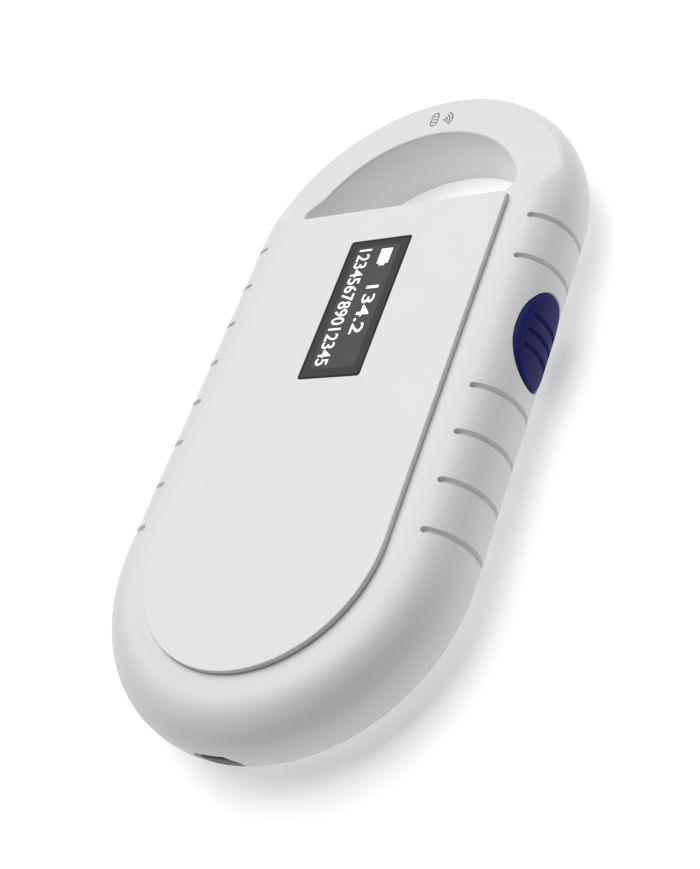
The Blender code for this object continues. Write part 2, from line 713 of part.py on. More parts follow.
def build_usb():
    low = USB_Z - USB_HEIGHT / 2
    high = USB_Z + USB_HEIGHT / 2
    end = USB_MOUTH_Y + USB_DEPTH
    outline = inlet_outline(USB_WIDTH, low, high, USB_SLANT)
    socket = prism("usb_socket", outline, USB_MOUTH_Y, end, "steel", axis="y")
    inner_width = USB_WIDTH - 2 * USB_WALL
    inside = inlet_outline(inner_width, low + USB_WALL, high - USB_WALL, USB_SLANT - USB_WALL / 2)
    cut(socket, prism("usb_well", inside, USB_MOUTH_Y - MM, end - 0.6 * MM, axis="y"))
    middle = (USB_X, USB_MOUTH_Y + USB_DEPTH / 2, USB_Z)
    box("usb_tongue", middle, USB_TONGUE_SIZE, "black_plastic")


def wire(name, points, slot, radius):
    """A short insulated lead along points given in millimetres."""
    curve = bpy.data.curves.new(name, "CURVE")
    curve.dimensions = "3D"
    curve.bevel_depth = radius
    curve.bevel_resolution = 1
    curve.use_fill_caps = True
    spline = curve.splines.new("POLY")
    spline.points.add(len(points) - 1)
    for point, (x, y, z) in zip(spline.points, points):
        point.co = (x * MM, y * MM, z * MM, 1.0)
    obj = bpy.data.objects.new(name, curve)
    curve.materials.append(material(slot))
    PARTS.objects.link(obj)
    return obj


def smooth_run(start, mid, end, steps=8):
    """Points on a quadratic curve from start to end, pulled towards mid."""
    points = []
    for i in range(steps + 1):
        t = i / steps
        weights = ((1 - t) ** 2, 2 * t * (1 - t), t**2)
        points.append(
            tuple(sum(w * p[k] for w, p in zip(weights, (start, mid, end))) for k in range(3))
        )
    return points


def build_power():
    middle = BATTERY_LOW_Z + BATTERY_THICK / 2
    size = (BATTERY_WIDTH, BATTERY_LENGTH, BATTERY_THICK)
    box("battery_pack", (0, BATTERY_Y, middle), size, "battery_silver", 0.8 * MM)
    box("battery_tape", (0, BATTERY_Y, 2.2 * MM), (20 * MM, 30 * MM, 0.3 * MM), "tape_white")
    box("battery_connector", BATTERY_PLUG, BATTERY_PLUG_SIZE, "tape_white", PLUG_ROUNDING)
    red = smooth_run((-6.0, 3.4, 5.2), (-6.0, 7.0, 5.2), (-8.0, 9.4, 5.2))
    black = smooth_run((-8.6, 3.4, 5.2), (-8.6, 7.0, 5.2), (-10.4, 9.4, 5.2))
    wire("battery_lead_red", red, "wire_red", LEAD_RADIUS)
    wire("battery_lead_black", black, "wire_black", LEAD_RADIUS)


def build_antenna():
    coil = prism("antenna_coil", d_outline(COIL_OUTER), COIL_LOW_Z, COIL_HIGH_Z, "coil_copper")
    cut(coil, prism("coil_inside", d_outline(COIL_INNER), 0, CASE_THICK))
    box("antenna_connector", ANTENNA_PLUG, ANTENNA_PLUG_SIZE, "tape_white", PLUG_ROUNDING)
    for index, x in enumerate((8.0, 10.0)):
        points = smooth_run((x + 1.5, 29.5, 5.6), (x + 1.0, 28.0, 5.6), (x, 26.4, 5.6), 6)
        wire(f"antenna_lead_{index + 1}", points, "coil_copper", ANTENNA_LEAD_RADIUS)


def build_screws():
    for index, (x, y) in enumerate(CASE_SCREWS):
        screw = cylinder(f"case_screw_{index + 1}", x, y, *CASE_HEAD, "steel")
        join(screw, cylinder(f"case_shank_{index}", x, y, MM, CASE_SHANK_TOP_Z, SHANK_RADIUS, sides=12))
        cut(screw, cylinder(f"case_drive_{index}", x, y, 0, 0.8 * MM, SHANK_RADIUS, sides=6))
    head = PCB_LOW_Z - BOARD_CLEARANCE
    low = head - BOARD_HEAD_THICK
    middle = head - BOARD_HEAD_THICK / 2
    for index, (x, y) in enumerate(PCB_SCREWS):
        screw = cylinder(f"pcb_screw_{index + 1}", x, y, low, head, BOARD_HEAD_RADIUS, "steel")
        shank = cylinder(f"pcb_shank_{index}", x, y, middle, BOARD_SHANK_TOP_Z, SHANK_RADIUS, sides=12)
        join(screw, shank)


def build_label():
    outline = rounded_rectangle(0, LABEL_Y, LABEL_WIDTH - MM, LABEL_LENGTH - MM, 1.2 * MM)
    prism("rear_label", outline, 0.05 * MM, 0.2 * MM, "label_silver")


def main():
    cutters = shared_cutters()
    build_front_shell(cutters)
    build_rear_cover(cutters)
    build_front_panel()
    build_display()
    build_button()
    build_switch()
    build_board()
    build_components()
    build_usb()
    build_power()
    build_antenna()
    build_screws()
    build_label()


main()
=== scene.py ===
"""Looks of the handheld microchip scanner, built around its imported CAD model."""

import json
import math

import bmesh
import bpy
from mathutils import Matrix, Vector


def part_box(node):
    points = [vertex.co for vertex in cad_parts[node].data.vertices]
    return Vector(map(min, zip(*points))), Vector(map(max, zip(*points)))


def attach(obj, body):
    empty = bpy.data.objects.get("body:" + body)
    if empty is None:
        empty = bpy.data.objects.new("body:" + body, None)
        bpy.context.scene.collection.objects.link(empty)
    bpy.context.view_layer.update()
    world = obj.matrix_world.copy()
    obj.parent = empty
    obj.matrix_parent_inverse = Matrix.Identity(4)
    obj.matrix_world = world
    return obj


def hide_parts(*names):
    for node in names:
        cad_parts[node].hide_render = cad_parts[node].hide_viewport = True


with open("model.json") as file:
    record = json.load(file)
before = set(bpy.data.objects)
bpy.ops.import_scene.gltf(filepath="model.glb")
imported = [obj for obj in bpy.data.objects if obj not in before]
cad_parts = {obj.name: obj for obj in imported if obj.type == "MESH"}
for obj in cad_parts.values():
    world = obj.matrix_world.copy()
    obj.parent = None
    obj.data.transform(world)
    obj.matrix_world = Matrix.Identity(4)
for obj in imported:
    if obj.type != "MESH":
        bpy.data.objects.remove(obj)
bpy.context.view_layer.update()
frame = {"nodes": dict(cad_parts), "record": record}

MM = 0.001  # every size below is in millimetres, and loft() turns it into metres


def mm_box(node):
    low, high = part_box(node)
    return low / MM, high / MM


# Driving dimensions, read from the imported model.
SHELL_LOW, SHELL_HIGH = mm_box("front_shell")
PANEL_LOW, PANEL_HIGH = mm_box("front_panel")
WINDOW_LOW, WINDOW_HIGH = mm_box("display_window")
BUTTON_LOW, BUTTON_HIGH = mm_box("power_button")
USB_LOW, USB_HIGH = mm_box("usb_socket")
LABEL_LOW, LABEL_HIGH = mm_box("rear_label")

HALF_WIDTH = -SHELL_LOW.x
ARC_Y = SHELL_HIGH.y - HALF_WIDTH
THICK = SHELL_HIGH.z
MID_Z = THICK / 2
EDGE = THICK / 2
SPINE = HALF_WIDTH - EDGE
EXPONENT = 2.15
WALL = 1.8

# Seam between the front shell and the rear cover.
SEAM_Z = 2.6
SEAM_GAP = 0.05
SEAM_CHAMFER = 0.07

# Handle ring and its ramp. The front shell's tube round the hole reaches the back.
TUBE_LOW_Z = 0.02
TUBE_GAP = 0.06
HOLE_RADIUS = 21.15
HOLE_FLAT_Y = 32.8
HOLE_CORNER = 3.0
HOLE_WALL = 1.6
HOLE_RIM = 0.4
RING_Z = 11.6
CREST_Y = 34.1
FOOT_Y = 40.1
CREST_SOFT = 0.55
FOOT_SOFT = 1.0

# Grip grooves.
GROOVE_PITCH = 8.0
GROOVE_COUNT = 8
GROOVE_HALF = 0.42
GROOVE_DEPTH = 0.8
GROOVE_SOFT = 0.12
GROOVE_START_X = 25.5
NEAR_GROOVE = [0.0, 0.24, 0.34, 0.37, 0.4, 0.43, 0.46, 0.49, 0.56, 0.9, 1.6, 2.8]

# Front panel and window.
PANEL_HALF = PANEL_HIGH.x
PANEL_TOP_Y = HOLE_FLAT_Y - 0.05
PANEL_CORNER = 1.2
PANEL_EDGE = 0.18
PANEL_GAP = 0.06
WINDOW_GAP = 0.05
WINDOW_Y = (WINDOW_LOW.y + WINDOW_HIGH.y) / 2
WINDOW_CORNER = 0.5
PANEL_RECESS = (12.9, 20.0)
DISPLAY_OPENING = (12.0, 30.4, 0.6)
DISPLAY_OPENING_LOW_Z = 10.0

# What the display shows.
VIEW_X = 0.0
VIEW_Y = 12.2
VIEW_WIDTH = 8.4
VIEW_LENGTH = 24.4
MARK_RISE = 0.02
BATTERY_SIGN_X = 1.9

# The signs' middles, on the ring's face.
TAG = (-1.6, 55.35)
SENDER = (0.45, 54.95)
SIGN_LINE = 0.22

# Button.
BUTTON_Y = (BUTTON_LOW.y + BUTTON_HIGH.y) / 2
BUTTON_MIDDLE = Vector((BUTTON_Y, THICK / 2))
BUTTON_HALF_LENGTH = 8.2
BUTTON_HALF_HEIGHT = (BUTTON_HIGH.z - BUTTON_LOW.z) / 2
BUTTON_EXPONENT = 2.2
BUTTON_PROUD = BUTTON_HIGH.x - HALF_WIDTH
BUTTON_INNER_X = 27.2
BUTTON_RIM = 0.45
BUTTON_GAP = 0.12
BUTTON_GROOVE_PITCH = 2.7
BUTTON_GROOVE_HALF = 3.1
BUTTON_GROOVE_WIDTH = 0.5
BUTTON_GROOVE_DEPTH = 0.45
BUTTON_OPENING_RIM = 0.3
BUTTON_STEPS = 420

# Charging inlet.
INLET_X = (USB_LOW.x + USB_HIGH.x) / 2
INLET_WIDTH = 8.4
INLET_LOW_Z = 4.2
INLET_HIGH_Z = 7.7
INLET_SLANT = 1.6
INLET_RIM = 0.22

# Case screws, their seats and pads, and the label's recess.
PAD_RADIUS = 2.9
PAD_TOP_Z = 3.4
SEAT_RADIUS = 2.15
SEAT_DEPTH = 1.6
SHANK_WAY = 1.1
LABEL_RECESS = (26.0, 36.0, 1.5)
LABEL_DEPTH = 0.35

# How finely the case is divided: arc steps, and where its edge rings change their spacing, in degrees.
CASE_ARC_STEPS = 180
HOLLOW_ARC_STEPS = 48
EDGE_SPACING = ((38.0, 2.5), (71.0, 1.5), (80.0, 0.3), (89.5, 1.0))
LAST_TURN = 89.5

# Studio light, in metres and watts.
WORLD_STRENGTH = 0.125
KEY_PLACE = (-0.62, 0.56, 1.6)
KEY_SIZE = (1.9, 1.9)
KEY_POWER = 36.5
RIM_PLACE = (0.22, 0.75, 0.28)
RIM_SIZE = (0.5, 0.25)
RIM_POWER = 1.2


# ---------------------------------------------------------------- mesh tools


def add_object(name, mesh):
    obj = bpy.data.objects.new(name, mesh)
    bpy.context.scene.collection.objects.link(obj)
    return obj


def loft(name, rings):
    """A closed form through rings of equally many points in millimetres, with a flat cap at each end."""
    count = len(rings[0])
    verts = [tuple(c * MM for c in point) for ring in rings for point in ring]
    faces = []
    for level in range(len(rings) - 1):
        low = level * count
        high = low + count
        for i in range(count):
            k = (i + 1) % count
            faces.append((low + i, low + k, high + k, high + i))
    last = (len(rings) - 1) * count
    faces.append(tuple(range(count))[::-1])
    faces.append(tuple(range(last, last + count)))
    mesh = bpy.data.meshes.new(name)
    mesh.from_pydata(verts, [], faces)
    bm = bmesh.new()
    bm.from_mesh(mesh)
    bmesh.ops.recalc_face_normals(bm, faces=bm.faces)
    bm.to_mesh(mesh)
    bm.free()
    return add_object(name, mesh)


def combine(obj, operation, *others):
    """Applies Booleans one after another, and removes the other objects."""
    for other in others:
        modifier = obj.modifiers.new(other.name, "BOOLEAN")
        modifier.object = other
        modifier.operation = operation
        modifier.solver = "MANIFOLD"
    graph = bpy.context.evaluated_depsgraph_get()
    mesh = bpy.data.meshes.new_from_object(obj.evaluated_get(graph))
    obj.modifiers.clear()
    old = obj.data
    obj.data = mesh
    bpy.data.meshes.remove(old)
    mesh.name = obj.name
    for other in others:
        bpy.data.objects.remove(other)
    return obj


def smooth(obj, degrees=32):
    """Smooth shading with crisp corners, weighted so that flat faces stay flat."""
    obj.data.shade_smooth()
    obj.data.set_sharp_from_angle(angle=math.radians(degrees))
    weighted = obj.modifiers.new("weighted_normals", "WEIGHTED_NORMAL")
    weighted.keep_sharp = True
    return obj


def place(obj, body, slot, material, *nodes):
    """Gives a finished piece its material and body, and hides the CAD nodes that it stands for."""
    obj.data.materials.clear()
    obj.data.materials.append(material)
    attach(obj, body)
    if nodes:
        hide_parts(*nodes)
    return obj


# ---------------------------------------------------------------- outlines


def arc(cx, cy, radius, start, end, steps):
    angles = [start + (end - start) * i / steps for i in range(steps + 1)]
    return [(cx + radius * math.cos(a), cy + radius * math.sin(a)) for a in angles]


def rounded_rectangle(cx, cy, width, height, radius, steps=6):
    points = []
    for sx, sy, start in ((1, -1, -90), (1, 1, 0), (-1, 1, 90), (-1, -1, 180)):
        angle = math.radians(start)
        centre = (cx + sx * (width / 2 - radius), cy + sy * (height / 2 - radius))
        points += arc(*centre, radius, angle, angle + math.pi / 2, steps)
    return points


def d_outline(offset, steps=160):
    """The handle hole's outline, moved outwards by an offset."""
    corner_y = HOLE_FLAT_Y + HOLE_CORNER
    rise = corner_y - ARC_Y
    corner_x = math.sqrt((HOLE_RADIUS - HOLE_CORNER) ** 2 - rise**2)
    turn = math.atan2(rise, corner_x)
    radius = HOLE_CORNER + offset
    right = arc(corner_x, corner_y, radius, -math.pi / 2, turn, 20)
    top = arc(0, ARC_Y, HOLE_RADIUS + offset, turn, math.pi - turn, steps)
    left = arc(-corner_x, corner_y, radius, math.pi - turn, 1.5 * math.pi, 20)
    return right + top[1:-1] + left


def panel_outline(offset, top_y, steps=140):
    half = PANEL_HALF + offset
    corner = PANEL_CORNER + offset
    bottom = arc(0, -ARC_Y, half, math.pi, 2 * math.pi, steps)
    right = arc(half - corner, top_y - corner, corner, 0, math.pi / 2, 10)
    left = arc(corner - half, top_y - corner, corner, math.pi / 2, math.pi, 10)
    return bottom + right + left


def oval(grow, steps):
    """The button's outline in Y and Z, evenly spaced by angle."""
    points = []
    for i in range(steps):
        angle = 2 * math.pi * i / steps
        c = math.cos(angle)
        s = math.sin(angle)
        y = math.copysign(abs(c) ** (2 / BUTTON_EXPONENT), c)
        z = math.copysign(abs(s) ** (2 / BUTTON_EXPONENT), s)
        points.append((BUTTON_Y + (BUTTON_HALF_LENGTH + grow) * y, MID_Z + (BUTTON_HALF_HEIGHT + grow) * z))
    return points


def inlet_outline(middle_x, width, low, high, slant, chamfer=0.4):
    half = width / 2
    right = [(half - chamfer, low), (half, low + chamfer), (half, high - slant), (half - slant, high)]
    return [(middle_x + x, z) for x, z in right + [(-x, z) for x, z in reversed(right)]]


# ---------------------------------------------------------------- case surface


def edge_reach(z, grow=0.0):
    """How far the rounded edge stands out from the spine at a height."""
    share = min(abs(z - MID_Z) / (EDGE + grow), 1.0)
    return (EDGE + grow) * (1 - share**EXPONENT) ** (1 / EXPONENT)


def eased(t, soft):
    """0 below zero and t above it, with a rounded bend."""
    if t <= -soft:
        return 0.0
    if t >= soft:
        return t
    return (t + soft) ** 2 / (4 * soft)


def face_z(y):
    """Height of the front face: level, then the ramp, then the ring's face."""
    slope = (THICK - RING_Z) / (FOOT_Y - CREST_Y)
    return THICK - slope * (eased(y - CREST_Y, CREST_SOFT) - eased(y - FOOT_Y, FOOT_SOFT))


def lowered(z, y, drop=0.0):
    """The edge's height, held under the front face with a rounded crease."""
    face = face_z(y) - drop
    blend = 0.5 * min(1.0, (THICK - drop - face) / 0.8)
    if blend < 1e-6:
        return min(z, face)
    near = max(blend - abs(z - face), 0.0) / blend
    return min(z, face) - near * near * blend / 4


def groove_rows(side):
    rows = [GROOVE_PITCH * (i - (GROOVE_COUNT - 1) / 2) for i in range(GROOVE_COUNT)]
    if side < 0:
        return rows
    return [y for y in rows if abs(y - BUTTON_Y) > GROOVE_PITCH]


def groove_depth(side, y, around):
    """Depth of the grip grooves at a place on the side; around runs from the equator, in radians."""
    start = math.acos(((GROOVE_START_X - SPINE) / EDGE) ** (EXPONENT / 2))
    along = EDGE * (start - abs(around))
    nearest = min(abs(y - row) for row in groove_rows(side))
    away = math.hypot(nearest, min(along - GROOVE_HALF, 0.0))
    share = (GROOVE_HALF + GROOVE_SOFT / 2 - away) / GROOVE_SOFT
    share = max(0.0, min(1.0, share))
    return GROOVE_DEPTH * share * share * (3 - 2 * share)


def side_stations():
    """Y positions along a straight side, close together at each groove."""
    found = {-ARC_Y, ARC_Y}
    for row in groove_rows(-1):
        for step in NEAR_GROOVE:
            found |= {row - step, row + step}
    return sorted(y for y in found if -ARC_Y <= y <= ARC_Y)


def case_stations(arc_steps):
    """Points of the spine with their outward directions: right side, top arc, left side, bottom arc."""
    found = [(SPINE, y, 1.0, 0.0, 1) for y in side_stations()]
    for i in range(1, arc_steps):
        angle = math.pi * i / arc_steps
        c, s = math.cos(angle), math.sin(angle)
        found.append((SPINE * c, ARC_Y + SPINE * s, c, s, 0))
    found += [(-SPINE, y, -1.0, 0.0, -1) for y in reversed(side_stations())]
    for i in range(1, arc_steps):
        angle = math.pi + math.pi * i / arc_steps
        c, s = math.cos(angle), math.sin(angle)
        found.append((SPINE * c, -ARC_Y + SPINE * s, c, s, 0))
    return found


def edge_ring(stations, around, inset=0.0):
    """One ring of the case at an angle round its edge, with the grooves pressed in."""
    c = math.cos(around)
    s = math.sin(around)
    out = abs(c) ** (2 / EXPONENT)
    rise = math.copysign(abs(s) ** (2 / EXPONENT), s)
    ring = []
    for x, y, nx, ny, side in stations:
        depth = groove_depth(side, y, around) if side else 0.0
        reach = EDGE * out - depth * c - inset
        px = x + nx * reach
        py = y + ny * reach
        z = MID_Z + EDGE * rise - depth * s
        ring.append((px, py, lowered(z, py)))
    return ring


def flat_ring(stations, inset, z=None):
    """One ring on the flat of the case, inside the spine; z None follows the front face."""
    ring = []
    for x, y, nx, ny, side in stations:
        px = x - nx * inset
        py = y - ny * inset
        ring.append((px, py, face_z(py) if z is None else z))
    return ring


def seam_angle(z):
    return -math.asin((abs(z - MID_Z) / EDGE) ** (EXPONENT / 2))


def steps_between(start, end, step):
    count = max(1, round(abs(end - start) / step))
    return [start + (end - start) * i / count for i in range(count + 1)]


def cavity(name, wall):
    """The hollow inside the case, with a tube left round the handle hole."""
    stations = case_stations(HOLLOW_ARC_STEPS)
    reach = EDGE - wall
    rings = []
    for around in steps_between(-math.pi / 2 + 0.02, math.pi / 2 - 0.02, math.radians(9)):
        out = math.cos(around) ** (2 / EXPONENT)
        rise = math.copysign(abs(math.sin(around)) ** (2 / EXPONENT), around)
        ring = []
        for x, y, nx, ny, side in stations:
            py = y + ny * reach * out
            ring.append((x + nx * reach * out, py, lowered(MID_Z + reach * rise, py, wall)))
        rings.append(ring)
    hollow = loft(name, rings)
    tube = loft(name + "_tube", [[(x, y, z) for x, y in d_outline(HOLE_WALL, 60)] for z in (-5, 25)])
    return combine(hollow, "DIFFERENCE", tube)


def handle_cutter():
    """The handle hole with rounded rims, which follow the ramp in front and lie flat behind."""
    rings = []

    def add(offset, height):
        rings.append([(x, y, height(y)) for x, y in d_outline(offset)])

    turns = [math.radians(a) for a in (14, 30, 45, 60, 75, 90)]
    add(HOLE_RIM, lambda y: -4.0)
    for a in turns:
        rise = HOLE_RIM * (1 - math.cos(a))
        add(HOLE_RIM * (1 - math.sin(a)), lambda y, rise=rise: rise)
    for a in reversed(turns):
        drop = HOLE_RIM * (1 - math.cos(a))
        add(HOLE_RIM * (1 - math.sin(a)), lambda y, drop=drop: face_z(y) - drop)
    add(HOLE_RIM, lambda y: face_z(y) + 4.0)
    top = [(x, y, THICK + 8.0) for x, y in d_outline(HOLE_RIM)]
    bottom = [(x, y, -8.0) for x, y in d_outline(HOLE_RIM)]
    return loft("handle_cutter", [bottom] + rings + [top])


def button_cutter():
    """The button's opening, with a rounded rim on the curved side."""
    rim = BUTTON_OPENING_RIM
    steps = 96
    rings = [[(BUTTON_INNER_X - 0.8, y, z) for y, z in oval(BUTTON_GAP, steps)]]
    for a in (90, 70, 50, 30, 14):
        turn = math.radians(a)
        outline = oval(BUTTON_GAP + rim * (1 - math.sin(turn)), steps)
        sink = rim * (1 - math.cos(turn))
        rings.append([(SPINE + edge_reach(z) - sink, y, z) for y, z in outline])
    rings.append([(SPINE + edge_reach(z) + 1.0, y, z) for y, z in oval(BUTTON_GAP + rim, steps)])
    rings.append([(HALF_WIDTH + 5.0, y, z) for y, z in oval(BUTTON_GAP + rim, steps)])
    return loft("button_cutter", rings)


def inlet_cutter():
    """The charging slot through the bottom end."""
    rim = INLET_RIM

    def mouth(grow):
        width = INLET_WIDTH + 2 * grow
        return inlet_outline(INLET_X, width, INLET_LOW_Z - grow, INLET_HIGH_Z + grow, INLET_SLANT + grow)

    rings = []
    for grow, sink in ((0.0, 3.5), (0.0, rim), (rim * 0.35, rim * 0.3), (rim * 0.8, 0.02)):
        outline = mouth(grow)
        ring = []
        for x, z in outline:
            reach = SPINE + edge_reach(z) - sink
            ring.append((x, -ARC_Y - math.sqrt(reach**2 - x**2), z))
        rings.append(ring)
    rings.append([(x, -ARC_Y - HALF_WIDTH - 4.0, z) for x, z in mouth(rim)])
    return loft("inlet_cutter", rings)


def cylinder(name, x, y, low, high, radius, steps=40):
    circle = arc(x, y, radius, 0, 2 * math.pi, steps)[:-1]
    return loft(name, [[(px, py, z) for px, py in circle] for z in (low, high)])


def screw_places(prefix):
    """Middle of each screw with that name, in millimetres."""
    found = []
    for name in sorted(frame["nodes"]):
        if name.startswith(prefix):
            low, high = mm_box(name)
            found.append(((low.x + high.x) / 2, (low.y + high.y) / 2))
    return found


def make_front_shell(material):
    stations = case_stations(CASE_ARC_STEPS)
    low = SEAM_Z + SEAM_GAP
    first = seam_angle(low + SEAM_CHAMFER)
    rings = [edge_ring(stations, seam_angle(low), SEAM_CHAMFER)]
    start = math.degrees(first)
    for end, step in EDGE_SPACING:
        angles = steps_between(math.radians(start), math.radians(end), math.radians(step))
        rings += [edge_ring(stations, a) for a in angles[:-1]]
        start = end
    rings.append(edge_ring(stations, math.radians(LAST_TURN)))
    rings += [flat_ring(stations, inset) for inset in steps_between(0.0, 4.4, 0.4)]
    rings += [flat_ring(stations, inset, THICK) for inset in (4.8, 8.0, 12.0)]
    shell = loft("shell_front", rings)
    recess = [[(x, y, z) for x, y in panel_outline(PANEL_GAP, HOLE_FLAT_Y + 0.3)] for z in PANEL_RECESS]
    window = rounded_rectangle(0, WINDOW_Y, *DISPLAY_OPENING)
    opening_z = (DISPLAY_OPENING_LOW_Z, PANEL_RECESS[1])
    combine(shell, "DIFFERENCE", cavity("front_cavity", WALL))
    tube = d_outline(HOLE_WALL - 0.1)
    combine(shell, "UNION", loft("handle_tube", [[(x, y, z) for x, y in tube] for z in (TUBE_LOW_Z, 4.0)]))
    combine(
        shell,
        "DIFFERENCE",
        handle_cutter(),
        button_cutter(),
        inlet_cutter(),
        loft("panel_recess", recess),
        loft("display_opening", [[(x, y, z) for x, y in window] for z in opening_z]),
    )
    smooth(shell)
    return place(shell, "case", "shell_white", material, "front_shell")


def make_rear_cover(material):
    stations = case_stations(CASE_ARC_STEPS)
    high = SEAM_Z
    first = seam_angle(high - SEAM_CHAMFER)
    rings = [edge_ring(stations, seam_angle(high), SEAM_CHAMFER)]
    turns = [math.degrees(first), -71.0, -80.0, -LAST_TURN]
    for start, end, step in zip(turns, turns[1:], (2.0, 0.3, 1.0)):
        angles = steps_between(math.radians(start), math.radians(end), math.radians(step))
        rings += [edge_ring(stations, a) for a in angles[:-1]]
    rings.append(edge_ring(stations, math.radians(-LAST_TURN)))
    rings += [flat_ring(stations, inset, 0.0) for inset in (0.0, 1.0, 2.0, 3.0, 8.0, 12.0)]
    cover = loft("shell_rear", rings)
    combine(cover, "DIFFERENCE", cavity("rear_cavity", WALL))
    places = screw_places("case_screw")
    pads = [cylinder(f"pad_{i}", x, y, 0.6, PAD_TOP_Z, PAD_RADIUS) for i, (x, y) in enumerate(places)]
    combine(cover, "UNION", *pads)
    way = d_outline(HOLE_WALL - 0.1 + TUBE_GAP)
    cutters = [button_cutter(), loft("tube_way", [[(x, y, z) for x, y in way] for z in (-3.0, 6.0)])]
    label_y = (LABEL_LOW.y + LABEL_HIGH.y) / 2
    recess = rounded_rectangle(0, label_y, *LABEL_RECESS)
    cutters.append(loft("label_recess", [[(x, y, z) for x, y in recess] for z in (-3.0, LABEL_DEPTH)]))
    for i, (x, y) in enumerate(places):
        cutters.append(screw_seat(f"seat_{i}", x, y))
        cutters.append(cylinder(f"way_{i}", x, y, 0.2, 6.0, SHANK_WAY, 24))
    combine(cover, "DIFFERENCE", *cutters)
    smooth(cover)
    return place(cover, "case", "shell_white", material, "rear_cover")


def screw_seat(name, x, y):
    """A counterbore with a small chamfer at its mouth."""
    levels = ((-3.0, 2.4), (0.0, 2.35), (0.2, SEAT_RADIUS), (SEAT_DEPTH, SEAT_RADIUS))
    rings = []
    for z, radius in levels:
        rings.append([(px, py, z) for px, py in arc(x, y, radius, 0, 2 * math.pi, 48)[:-1]])
    return loft(name, rings)


# ---------------------------------------------------------------- panel and display


def slab(name, outlines):
    """A loft from (outline, z) pairs."""
    return loft(name, [[(x, y, z) for x, y in outline] for outline, z in outlines])


def softened_slab(name, outline_at, low, high, edge):
    """A slab whose top edge is rounded; outline_at(offset) gives its outline."""
    levels = [(outline_at(0.0), low), (outline_at(0.0), high - edge)]
    for a in (18, 36, 54, 72, 90):
        turn = math.radians(a)
        inset = edge * (1 - math.cos(turn))
        levels.append((outline_at(-inset), high - edge * (1 - math.sin(turn))))
    return slab(name, levels)


def make_front_panel(material):
    panel = softened_slab(
        "panel_front", lambda grow: panel_outline(grow, PANEL_TOP_Y), PANEL_LOW.z, PANEL_HIGH.z, PANEL_EDGE
    )
    levels = []
    top = PANEL_HIGH.z
    for grow, z in ((0, DISPLAY_OPENING_LOW_Z), (0, top - 0.1), (0.03, top - 0.03), (0.1, top + 0.01)):
        width = WINDOW_HIGH.x - WINDOW_LOW.x + 0.3 + 2 * grow
        length = WINDOW_HIGH.y - WINDOW_LOW.y + 0.3 + 2 * grow
        levels.append((rounded_rectangle(0, WINDOW_Y, width, length, WINDOW_CORNER + grow), z))
    levels.append((levels[-1][0], top + 3))
    combine(panel, "DIFFERENCE", slab("window_cutter", levels))
    smooth(panel)
    return place(panel, "case", "panel_white", material, "front_panel")


def make_window(materials):
    """The lens, its printed border and the lit display seen through it."""
    width = WINDOW_HIGH.x - WINDOW_LOW.x + 0.3 - 2 * WINDOW_GAP
    length = WINDOW_HIGH.y - WINDOW_LOW.y + 0.3 - 2 * WINDOW_GAP
    top = WINDOW_HIGH.z

    def lens_outline(grow):
        return rounded_rectangle(0, WINDOW_Y, width + 2 * grow, length + 2 * grow, 0.45)

    lens = softened_slab("window_lens", lens_outline, WINDOW_LOW.z, top, 0.12)
    smooth(lens)
    place(lens, "case", "window_black", materials["lens_edge"], "display_window")

    def border_outline(grow):
        return rounded_rectangle(0, WINDOW_Y, width - 0.8 + 2 * grow, length - 0.8 + 2 * grow, 0.3)

    border = softened_slab("window_border", border_outline, top - 0.05, top + 0.012, 0.01)
    smooth(border)
    place(border, "case", "window_black", materials["lens_border"])

    def view_outline(grow):
        return rounded_rectangle(VIEW_X, VIEW_Y, VIEW_WIDTH + 2 * grow, VIEW_LENGTH + 2 * grow, 0.15)

    view = softened_slab("display_view", view_outline, top - 0.04, top + 0.02, 0.008)
    smooth(view)
    place(view, "case", "display_glass", materials["display_view"])
    make_display_marks(materials["display_lit"], top + 0.016)


def text_mesh(name, text, height, length):
    """Digits as a solid, scaled to a cap height and an overall length in millimetres."""
    curve = bpy.data.curves.new(name, "FONT")
    curve.body = text
    curve.size = 1.0
    curve.extrude = 0.5
    curve.offset = 0.012
    curve.resolution_u = 6
    temporary = bpy.data.objects.new(name, curve)
    bpy.context.scene.collection.objects.link(temporary)
    graph = bpy.context.evaluated_depsgraph_get()
    mesh = bpy.data.meshes.new_from_object(temporary.evaluated_get(graph))
    bpy.data.objects.remove(temporary)
    xs = [v.co.x for v in mesh.vertices]
    ys = [v.co.y for v in mesh.vertices]
    middle = Vector(((min(xs) + max(xs)) / 2, (min(ys) + max(ys)) / 2, 0))
    scale = (length / (max(xs) - min(xs)), height / (max(ys) - min(ys)), MARK_RISE)
    mesh.transform(Matrix.Diagonal((*scale, 1.0)) @ Matrix.Translation(-middle))
    mesh.transform(Matrix.Scale(MM, 4))
    bm = bmesh.new()
    bm.from_mesh(mesh)
    bmesh.ops.remove_doubles(bm, verts=bm.verts, dist=1e-7)
    bm.to_mesh(mesh)
    bm.free()
    return mesh


